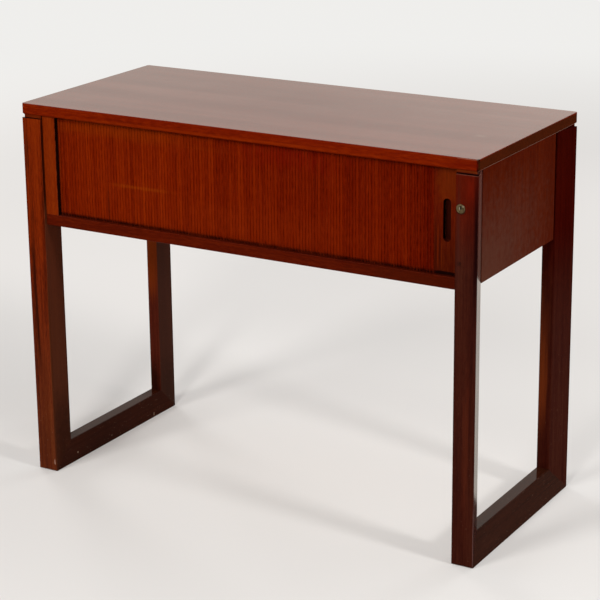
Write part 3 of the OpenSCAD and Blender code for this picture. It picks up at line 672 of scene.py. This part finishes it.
def markMask(tree, place, centre, half, ragged, softness, rim):
    return placeGroup(tree, mark, {
        "Vector": place, "Centre": centre, "Half Size": half, "Ragged": ragged,
        "Softness": softness, "Ragged Size": rimSizes[rim]})["Mask"]


def addMarks(tree, name, colour, place):
    for centre, half, tone, strength, ragged, softness, *run in marks.get(name, []):
        mask = markMask(tree, place, centre, half, ragged, softness, run[0] if run else "even")
        colour = mixColours(tree, calculate(tree, "MULTIPLY", mask, strength), colour, tone)
    return colour


def fadeBetween(tree, place, heights, label):
    return placeGroup(tree, heightFade, {"Vector": place, "From": heights[0], "To": heights[1]})[label]


def toneOf(tree, look, figure, lift=0.0):
    deep, middle, light = look["tones"]
    return placeGroup(tree, grainTone, {
        "Streaks": figure["Streaks"], "Figure": figure["Figure"], "Fleck": figure["Fleck"],
        "Pores": figure["Pores"], "Weights": look["weights"], "Lift": lift,
        "Deep": deep, "Middle": middle, "Light": light})["Colour"]


def finishWood(tree, shader, look, colour, figure, wear, place):
    worn = tuple(c * woodFinish["wornGain"] + woodFinish["wornLift"] for c in look["tones"][2])
    colour = mixColours(tree, calculate(tree, "MULTIPLY", wear["Worn Edge"], woodFinish["wornShare"]),
                        colour, worn)
    if "nicks" in look:
        nicks = calculate(tree, "POWER", wear["Worn Edge"], woodFinish["nickSharpness"])
        colour = mixColours(tree, calculate(tree, "MULTIPLY", nicks, look["nicks"]),
                            colour, woodFinish["nickTone"])
    if "specks" in look:
        near = fadeBetween(tree, place, woodFinish["speckRun"], "Even")
        chipped = calculate(tree, "MULTIPLY", wear["Specks"],
                            calculate(tree, "MULTIPLY", near, look["specks"]))
        colour = mixColours(tree, chipped, colour, woodFinish["speckTone"])
    plug(tree, colour, shader.inputs["Base Color"])
    plug(tree, remap(tree, wear["Rubbed"], 0.0, 1.0, *look["roughness"]), shader.inputs["Roughness"])
    shader.inputs["Specular IOR Level"].default_value = woodFinish["specular"]
    addLacquer(tree, shader, look, figure, wear, place)
    addBump(tree, shader, figure["Height"], look["bump"], woodFinish["bumpDepth"])


def addLacquer(tree, shader, look, figure, wear, place):
    facing, grazing = look["lacquer"]
    if not grazing:
        return
    angle = addNode(tree, "ShaderNodeLayerWeight")
    angle.inputs["Blend"].default_value = 0.5
    lacquer = remap(tree, angle.outputs["Facing"], *woodFinish["lacquerAngle"], facing, grazing,
                    smooth=True)
    dulled = remap(tree, wear["Rubbed"], 0.0, 1.0, 1.0, look["dulled"])
    lacquer = calculate(tree, "MULTIPLY", lacquer, dulled)
    if "lacquerGrain" in look:
        dimmed = remap(tree, figure["Figure"], 0.0, 1.0, 1.0 - look["lacquerGrain"], 1.0)
        lacquer = calculate(tree, "MULTIPLY", lacquer, dimmed)
    if "lacquerFade" in look:
        *heights, least, most = look["lacquerFade"]
        share = remap(tree, fadeBetween(tree, place, heights, "Even"), 0.0, 1.0, least, most)
        lacquer = calculate(tree, "MULTIPLY", lacquer, share)
    plug(tree, lacquer, shader.inputs["Coat Weight"])
    shader.inputs["Coat Roughness"].default_value = look["lacquerRoughness"]


def startMaterial(name):
    material = bpy.data.materials.new(name)
    material.use_nodes = True
    tree = material.node_tree
    return material, tree, tree.nodes["Principled BSDF"]


def buildWood(name):
    look = {**commonWood, **woods[name]}
    material, tree, shader = startMaterial(name)
    place = addNode(tree, "ShaderNodeTexCoord").outputs["Object"]
    turned = addNode(tree, "ShaderNodeMapping")
    plug(tree, grainTurns[look["grain"]], turned.inputs["Rotation"])
    plug(tree, look["shift"], turned.inputs["Location"])
    plug(tree, place, turned.inputs["Vector"])
    figure = placeGroup(tree, woodFigure, {"Vector": turned.outputs[0]})
    wear = placeGroup(tree, ageing, {"Vector": place})
    colour = toneOf(tree, look, figure)
    # painted shade and painted haze near the floor, standing for shade and the floor's reflection
    if "low" in look:
        lowShadeAndHaze = mixColours(tree, 1.0, colour, look["low"], "MULTIPLY")
        colour = mixColours(tree, fadeBetween(tree, place, look["lowRun"], "Smooth"), colour, lowShadeAndHaze)
    colour = addMarks(tree, name, colour, place)
    finishWood(tree, shader, look, colour, figure, wear, place)
    return material


tambourTint = {
    "jump": {"X": 3.1, "Z": 1.7},       # how far apart neighbouring slats are cut from the pattern
    "lift": (-0.07, 0.07),              # how far a slat's tone departs from the middle one
    # painted shade: the slats darken and redden towards the right
    "dimming": ((-0.25, 0.30, 1.0, 0.73), (0.325, 0.362, 1.0, 0.66)),   # darker towards the right
    "reddening": 1.8,                   # and redder there
    # painted shade along the lower ends
    "grime": (0.5062, 0.5005, 0.0, 0.92),   # along the lower ends
    "grimeTone": (0.006, 0.001, 0.0006),
}


def buildTambourWood(name):
    # every slat has its own tone and its own piece of grain, kept in the mesh so that it stays put
    look = {**commonWood, **woods[name]}
    material, tree, shader = startMaterial(name)
    place = addNode(tree, "ShaderNodeAttribute", attribute_name="restPlace").outputs["Vector"]
    tone = addNode(tree, "ShaderNodeAttribute", attribute_name="slatTone").outputs["Fac"]
    jump = addNode(tree, "ShaderNodeCombineXYZ")
    for axis, length in tambourTint["jump"].items():
        plug(tree, calculate(tree, "MULTIPLY", tone, length), jump.inputs[axis])
    moved = calculateVector(tree, "ADD", place, jump.outputs[0])
    figure = placeGroup(tree, woodFigure, {"Vector": moved})
    wear = placeGroup(tree, ageing, {"Vector": place})
    colour = toneOf(tree, look, figure, remap(tree, tone, 0.0, 1.0, *tambourTint["lift"]))
    axes = axesOf(tree, place)
    # painted shade towards the right
    fade = calculate(tree, "MULTIPLY", *(remap(tree, axes["X"], *step, smooth=True)
                                         for step in tambourTint["dimming"]))
    redder = calculate(tree, "POWER", fade, tambourTint["reddening"])
    shade = addNode(tree, "ShaderNodeCombineColor")
    for channel, value in (("Red", fade), ("Green", redder), ("Blue", redder)):
        plug(tree, value, shade.inputs[channel])
    colour = mixColours(tree, 1.0, colour, shade.outputs[0], "MULTIPLY")
    # painted shade along the lower ends
    grime = remap(tree, axes["Z"], *tambourTint["grime"], smooth=True)
    colour = mixColours(tree, grime, colour, tambourTint["grimeTone"])
    colour = addMarks(tree, name, colour, place)
    finishWood(tree, shader, look, colour, figure, wear, place)
    return material


woodMaterials = {name: buildWood(name) for name in woods if name != "tambourWood"}
woodMaterials["tambourWood"] = buildTambourWood("tambourWood")
print("woods ready", len(woodMaterials))


lockFace = {
    "centre": (0.4195, -0.198, 0.616),
    "plugRadius": 5.0 * millimetre,
    "jointWidth": 0.7 * millimetre,     # dirt in the joint round the plug
    "jointStrength": 0.75,
    # the keyway and a little round it are painted dark: painted shade
    "keyCentre": (0.4194, -0.196, 0.6184),
    "keyHalf": (0.0017, 0.004, 0.0036),
    "dirtAndShadeTone": (0.004, 0.003, 0.002),  # of the joint's dirt and the keyway's painted shade
    "rimCentre": (0.4191, -0.198, 0.6169),
    "rimRadius": (0.0071, 0.0077),    # where the plain face ends and the darker rim begins
    "rimStrength": 0.95,
    "rimTone": (0.060, 0.012, 0.005),
    "patchDepth": 6.0 * millimetre,
    "patchRim": (0.8, 1.0),             # ragged and softness
    "keyRim": (0.2, 0.35),
}

# painted highlights and painted dark reflections on the lock's face: centre and half size, both
# across and up, colour and strength
paintedLockReflections = [
    ((0.4178, 0.6172), (0.0023, 0.0028), (1.000, 0.900, 0.700), 1.0),
    ((0.4238, 0.6207), (0.0034, 0.0018), (0.900, 0.740, 0.500), 0.9),
    ((0.4230, 0.6172), (0.0023, 0.0020), (0.020, 0.012, 0.006), 0.9),
    ((0.4181, 0.6127), (0.0018, 0.0014), (0.100, 0.030, 0.015), 0.8),
    ((0.4150, 0.6128), (0.0012, 0.0022), (0.640, 0.480, 0.250), 0.6),
    ((0.4239, 0.6142), (0.0022, 0.0016), (0.160, 0.105, 0.045), 0.6),
]

# tone where it's clean and dull, roughness where it's rubbed least and most, patch size in metres
metals = {
    "lockNickel": {"tone": (0.42, 0.31, 0.155), "dull": (0.13, 0.085, 0.036), "metallic": 0.72,
                   "roughness": (0.24, 0.44), "patch": 0.0024, "bump": 0.19},
    "strikeBrass": {"tone": (0.62, 0.44, 0.18), "dull": (0.30, 0.19, 0.08), "metallic": 0.95,
                    "roughness": (0.28, 0.48), "patch": 0.006, "bump": 0.12},
    "screwBrass": {"tone": (0.58, 0.41, 0.18), "dull": (0.26, 0.17, 0.08), "metallic": 0.95,
                   "roughness": (0.24, 0.42), "patch": 0.006, "bump": 0.16},
}

metalFinish = {
    "dullShare": 0.7,
    "edgeGain": 1.5,                    # worn edges beside the clean tone
    "brushing": ((2600.0, 2600.0, 700.0), 2.0, 0.6),
    "bumpDepth": 0.08 * millimetre,
}


def radiusFrom(tree, place, centre):
    # distance from a line through the centre, front to back
    axes = axesOf(tree, calculateVector(tree, "SUBTRACT", place, centre))
    across, up = (calculate(tree, "MULTIPLY", axes[a], axes[a]) for a in "XZ")
    return calculate(tree, "SQRT", calculate(tree, "ADD", across, up))


def addLockDirtAndPaintedLight(tree, colour, place):
    face = lockFace
    fromRimCentre = radiusFrom(tree, place, face["rimCentre"])
    rim = remap(tree, fromRimCentre, *face["rimRadius"], 0.0, face["rimStrength"])
    colour = mixColours(tree, rim, colour, face["rimTone"])
    # painted highlights and painted dark reflections
    for (x, z), (width, height), tint, strength in paintedLockReflections:
        centre, half = (x, face["centre"][1], z), (width, face["patchDepth"], height)
        patch = markMask(tree, place, centre, half, *face["patchRim"], "fine")
        colour = mixColours(tree, calculate(tree, "MULTIPLY", patch, strength), colour, tint)
    fromCentre = radiusFrom(tree, place, face["centre"])
    off = calculate(tree, "ABSOLUTE", calculate(tree, "SUBTRACT", fromCentre, face["plugRadius"]))
    joint = remap(tree, off, 0.0, face["jointWidth"], face["jointStrength"], 0.0, smooth=True)
    # painted shade in and round the keyway
    key = markMask(tree, place, face["keyCentre"], face["keyHalf"], *face["keyRim"], "fine")
    return mixColours(tree, calculate(tree, "MAXIMUM", joint, key), colour, face["dirtAndShadeTone"])


def buildMetal(name):
    look = metals[name]
    material, tree, shader = startMaterial(name)
    place = addNode(tree, "ShaderNodeTexCoord").outputs["Object"]
    wear = placeGroup(tree, ageing, {"Vector": place, "Patch Size": look["patch"]})
    dulled = calculate(tree, "MULTIPLY", wear["Rubbed"], metalFinish["dullShare"])
    colour = mixColours(tree, dulled, look["tone"], look["dull"])
    edge = tuple(min(1.0, c * metalFinish["edgeGain"]) for c in look["tone"])
    colour = mixColours(tree, wear["Worn Edge"], colour, edge)
    if name == "lockNickel":
        colour = addLockDirtAndPaintedLight(tree, colour, place)
    plug(tree, colour, shader.inputs["Base Color"])
    shader.inputs["Metallic"].default_value = look["metallic"]
    plug(tree, remap(tree, wear["Rubbed"], 0.0, 1.0, *look["roughness"]), shader.inputs["Roughness"])
    brushing = patternAt(tree, place, metalFinish["brushing"])
    addBump(tree, shader, brushing, look["bump"], metalFinish["bumpDepth"])
    return material


canvasLook = {
    "warp": (0.62, 0.55, 0.42),
    "weft": (0.52, 0.46, 0.35),
    "thread": 0.9 * millimetre,
    "slubs": ((60.0, 60.0, 400.0), 2.0, 0.6, 0.4, 0.7),     # thicker, darker stretches of thread
    "slubTone": (0.30, 0.25, 0.18),
    "slubShare": 0.4,
    "roughness": 0.9,
    "specular": 0.1,
    "bump": 0.5,
    "bumpDepth": 0.2 * millimetre,
}


def buildCanvasMaterial():
    look = canvasLook
    material, tree, shader = startMaterial("canvasCloth")
    place = addNode(tree, "ShaderNodeAttribute", attribute_name="restPlace").outputs["Vector"]
    axes = axesOf(tree, place)
    turns = 2 * math.pi / look["thread"]
    across, along = (calculate(tree, "SINE", calculate(tree, "MULTIPLY", axes[a], turns)) for a in "XZ")
    weave = remap(tree, calculate(tree, "MULTIPLY", across, along), -1.0, 1.0)
    tone = mixColours(tree, weave, look["warp"], look["weft"])
    slubs = calculate(tree, "MULTIPLY", patternAt(tree, place, look["slubs"]), look["slubShare"])
    plug(tree, mixColours(tree, slubs, tone, look["slubTone"]), shader.inputs["Base Color"])
    shader.inputs["Roughness"].default_value = look["roughness"]
    shader.inputs["Specular IOR Level"].default_value = look["specular"]
    addBump(tree, shader, weave, look["bump"], look["bumpDepth"])
    return material


metalMaterials = {name: buildMetal(name) for name in metals}
canvasMaterial = buildCanvasMaterial()
print("metal and canvas ready")


# pieces are built from the frame's own solids
bodyOf = {node: body for body, nodes in frame["record"]["behaviour"]["bodies"].items()
          for node in nodes}

solidCare = {
    "weld": 0.01 * millimetre,
    "flatWithin": math.radians(0.6),    # faces that turn less than this are joined again
    "easedFrom": math.radians(20),      # edges that turn more than this are eased
    "sharpFrom": math.radians(40),      # and those that still turn more than this stay sharp in shading
    "normalWeight": 80,
    "shortest": 2.5 * millimetre,       # shorter edges belong to hidden dowel holes and aren't eased
    "shortestFine": 0.3 * millimetre,   # the same on the slats and the lead rail, with its finger slot
    "shortestMetal": 0.05 * millimetre,
    "segments": 3,
    "segmentsFine": 2,                  # on the slats and the metal
}


def weightNormals(piece):
    # flat faces stay flat in shading, and eased edges turn smoothly between them
    for polygon in piece.data.polygons:
        polygon.use_smooth = True
    modifier = piece.modifiers.new("weigh", "WEIGHTED_NORMAL")
    modifier.keep_sharp = True
    modifier.weight = solidCare["normalWeight"]
    bpy.context.view_layer.update()
    graph = bpy.context.evaluated_depsgraph_get()
    mesh = bpy.data.meshes.new_from_object(piece.evaluated_get(graph))
    piece.modifiers.clear()
    old = piece.data
    piece.data = mesh
    bpy.data.meshes.remove(old)


def cleanSolid(node):
    # the node's solid, with the flat faces of each side joined again
    work = bmesh.new()
    work.from_mesh(frame["nodes"][node].data)
    bmesh.ops.remove_doubles(work, verts=work.verts, dist=solidCare["weld"])
    bmesh.ops.dissolve_limit(work, angle_limit=solidCare["flatWithin"], verts=work.verts,
                             edges=work.edges)
    return work


def easeEdges(work, ease, shortest, segments):
    # the eased faces are marked, so that the finish can wear there
    layer = work.faces.layers.float.new("easedEdge")
    eased = [e for e in work.edges if len(e.link_faces) == 2 and e.calc_length() > shortest
             and e.calc_face_angle(0) > solidCare["easedFrom"]]
    made = bmesh.ops.bevel(work, geom=eased, offset=ease, offset_type="OFFSET", segments=segments,
                           profile=0.5, affect="EDGES", clamp_overlap=True)
    for face in made["faces"]:
        face[layer] = 1.0
    for edge in work.edges:
        edge.smooth = edge.calc_face_angle(0) < solidCare["sharpFrom"]


def pieceFrom(name, work):
    mesh = bpy.data.meshes.new(name)
    work.to_mesh(mesh)
    work.free()
    piece = bpy.data.objects.new(name, mesh)
    bpy.context.scene.collection.objects.link(piece)
    return piece


def easedPiece(name, node, ease, shortest, segments):
    work = cleanSolid(node)
    easeEdges(work, ease, shortest, segments)
    piece = pieceFrom(name, work)
    weightNormals(piece)
    return piece


def dress(piece, node, material):
    piece.data.materials.clear()
    piece.data.materials.append(material)
    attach(piece, bodyOf.get(node, "cabinet"))
    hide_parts(node)


woodenPieces = {
    # CAD node: piece, wood, easing in millimetres
    "table_top": ("tableTop", "topWood", 0.7),
    "left_front_leg": ("leftFrontLeg", "leftLegWood", 0.5),
    "left_rear_leg": ("leftRearLeg", "rearLegWood", 0.5),
    "left_floor_rail": ("leftFloorRail", "leftRailWood", 0.5),
    "right_front_leg": ("rightFrontLeg", "rightLegWood", 0.5),
    "right_rear_leg": ("rightRearLeg", "rightRearWood", 0.5),
    "right_floor_rail": ("rightFloorRail", "floorRailWood", 0.5),
    "left_side_panel": ("leftSidePanel", "panelWood", 0.6),
    "right_side_panel": ("rightSidePanel", "panelWood", 0.6),
    "back_panel": ("backPanel", "panelWood", 0.6),
    "cabinet_floor": ("cabinetFloor", "innerWood", 0.25),
    "front_rail": ("frontRail", "railWood", 0.6),
    "left_stile": ("leftStile", "stileWood", 0.7),
    "inner_left_wall": ("innerLeftWall", "innerWood", 0.5),
    "inner_back_wall": ("innerBackWall", "innerWood", 0.5),
    "lead_rail": ("leadRail", "leadWood", 0.7),
}

for node, (name, wood, ease) in woodenPieces.items():
    shortest = solidCare["shortestFine" if node == "lead_rail" else "shortest"]
    piece = easedPiece(name, node, ease * millimetre, shortest, solidCare["segments"])
    dress(piece, node, woodMaterials[wood])
print("wooden pieces ready")


curtain = {
    "ease": 0.28 * millimetre,
    "tailStart": -0.3795,       # slats left of this, or behind the front row, stay in the track
    "frontDepth": -0.170,       # slats nearer than this belong to the front row
    "gathered": 0.01,           # share of its width that the front row keeps when open
    "anchor": (-0.383, -0.179, 0.59),   # behind the stile
    "toneStep": 0.6180339,      # from slat to slat, with two short cycles so that no rhythm shows
    "toneCycles": ((7, 0.137), (3, 0.291)),
    "canvasThick": 0.8 * millimetre,
}


def islandsOf(work):
    # the faces of each separate solid
    work.faces.ensure_lookup_table()
    seen, islands = set(), []
    for face in work.faces:
        if face.index in seen:
            continue
        island, waiting = [], [face]
        seen.add(face.index)
        while waiting:
            current = waiting.pop()
            island.append(current)
            for edge in current.edges:
                for other in edge.link_faces:
                    if other.index not in seen:
                        seen.add(other.index)
                        waiting.append(other)
        islands.append(island)
    return islands


def middleOf(island):
    points = list(dict.fromkeys(v for face in island for v in face.verts))
    return sum((v.co for v in points), Vector()) / len(points)


def keepRestPlace(work):
    # the pattern is read where each point is at rest, so that it moves with the curtain
    rest = work.verts.layers.float_vector.new("restPlace")
    for vert in work.verts:
        vert[rest] = vert.co


def gather(piece):
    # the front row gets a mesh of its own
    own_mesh(piece)


def buildCurtain():
    for name, front in (("tambourFront", True), ("tambourTail", False)):
        work = cleanSolid("tambour_slats")
        away = []
        for island in islandsOf(work):
            middle = middleOf(island)
            inFront = middle.x > curtain["tailStart"] and middle.y < curtain["frontDepth"]
            if inFront != front:
                away += island
        bmesh.ops.delete(work, geom=away, context="FACES")
        easeEdges(work, curtain["ease"], solidCare["shortestFine"], solidCare["segmentsFine"])
        work.faces.index_update()
        tone = work.faces.layers.float.new("slatTone")
        keepRestPlace(work)
        islands = sorted(islandsOf(work), key=lambda i: round(middleOf(i).x, 4))
        for number, island in enumerate(islands):
            value = number * curtain["toneStep"]
            value += sum((number % cycle) * step for cycle, step in curtain["toneCycles"])
            for face in island:
                face[tone] = value % 1.0
        piece = pieceFrom(name, work)
        weightNormals(piece)
        dress(piece, "tambour_slats", woodMaterials["tambourWood"])
        print(name, len(islands), "slats", len(piece.data.polygons), "faces")
        if front:
            gather(piece)


def buildCanvas():
    # one strip of cloth, parted where the front row ends
    for name, front in (("canvasFront", True), ("canvasTail", False)):
        work = cleanSolid("tambour_canvas")
        geometry = list(work.verts) + list(work.edges) + list(work.faces)
        bmesh.ops.bisect_plane(work, geom=geometry, plane_co=(curtain["tailStart"], 0, 0),
                               plane_no=(1, 0, 0), clear_outer=not front, clear_inner=front)
        bmesh.ops.holes_fill(work, edges=[e for e in work.edges if len(e.link_faces) == 1])
        keepRestPlace(work)
        # its cut length, from its surface less that of its narrow edges
        area = sum(face.calc_area() for face in work.faces) / 2
        piece = pieceFrom(name, work)
        dress(piece, "tambour_canvas", canvasMaterial)
        if front:
            gather(piece)


buildCurtain()
buildCanvas()
print("curtain ready")


metalPieces = {
    # CAD node: piece, metal, easing in millimetres
    "lock_cylinder": ("lockBezel", "lockNickel", 0.35),
    "lock_plug": ("lockPlug", "lockNickel", 0.2),
    "lock_cam": ("lockCam", "screwBrass", 0.2),
    "cam_screw": ("camScrew", "screwBrass", 0.15),
    "strike_plate": ("strikePlate", "strikeBrass", 0.2),
    "strike_screws": ("strikeScrews", "screwBrass", 0.12),
}

for node, (name, metal, ease) in metalPieces.items():
    piece = easedPiece(name, node, ease * millimetre, solidCare["shortestMetal"],
                       solidCare["segmentsFine"])
    dress(piece, node, metalMaterials[metal])
print("metal parts ready")


# hidden joinery keeps its CAD shape
joinery = ["mitre_splines", "leg_dowels", "floor_dowels", "rail_dowels", "stile_pins",
           "back_dowels", "top_dowels"]

for node in joinery:
    data = frame["nodes"][node].data
    data.materials.clear()
    data.materials.append(woodMaterials["dowelWood"])
print("joinery ready")
